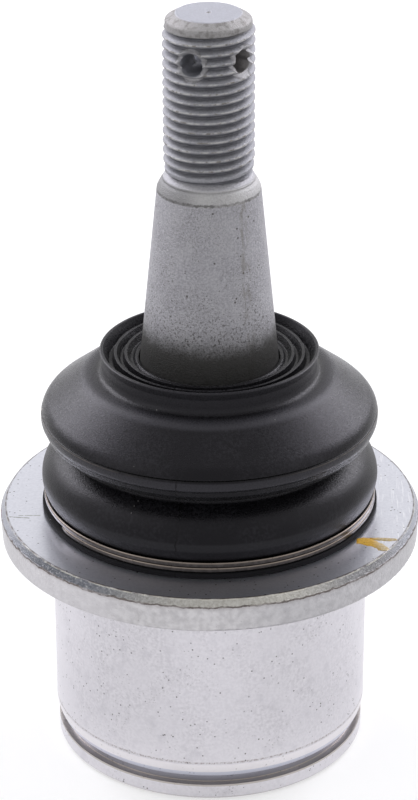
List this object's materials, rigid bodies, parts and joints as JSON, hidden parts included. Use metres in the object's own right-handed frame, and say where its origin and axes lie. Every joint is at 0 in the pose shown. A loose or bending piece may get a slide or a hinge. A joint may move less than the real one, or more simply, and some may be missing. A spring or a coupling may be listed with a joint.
{
  "type": "suspension ball joint",
  "caption": "Press-in suspension ball joint: flanged cylindrical housing, tapered ball stud with a threaded end and cross holes, and a ribbed rubber dust boot held by a wire ring.",
  "frame": {"origin": "centre of the housing's flat bottom face, the end that is pressed into the arm first", "axes": "+Z along the housing's axis and the stud at rest, towards the threaded end; -Y is the side that shows both cross holes of the stud"},
  "size_m": [0.0662, 0.0662, 0.1209],
  "materials": {
    "coated_steel": "light satin grey, zinc phosphate over forged and turned steel",
    "stud_steel": "matt grey zinc flake coating with fine dark specks",
    "bearing_polymer": "natural acetal, greased",
    "spring_steel": "dark hardened spring steel",
    "plate_steel": "plain pressed steel, zinc plated",
    "boot_rubber": "matt black moulded rubber with a slight sheen",
    "spring_wire": "brownish oiled spring wire"
  },
  "bodies": {
    "housing": {"housing": "coated_steel", "upper_bearing": "bearing_polymer", "lower_bearing": "bearing_polymer", "spring_washer": "spring_steel", "end_plate": "plate_steel", "boot_clamp_ring": "spring_wire"},
    "boot": {"dust_boot": "boot_rubber"},
    "collar": {"boot_collar_ring": "plate_steel"},
    "stud": {"ball_stud": "stud_steel"}
  },
  "joints": [
    {"name": "tilt_x", "type": "hinge", "parent": "housing", "child": "boot", "pos_m": [0, 0, 0.0235], "axis": [1, 0, 0], "range_deg": [-18, 18], "deforming": ["dust_boot"]},
    {"name": "tilt_y", "type": "hinge", "parent": "boot", "child": "collar", "pos_m": [0, 0, 0.0235], "axis": [0, 1, 0], "range_deg": [-18, 18], "deforming": ["dust_boot"]},
    {"name": "stud_spin", "type": "hinge", "parent": "collar", "child": "stud", "pos_m": [0, 0, 0.0235], "axis": [0, 0, 1], "continuous": true}
  ]
}
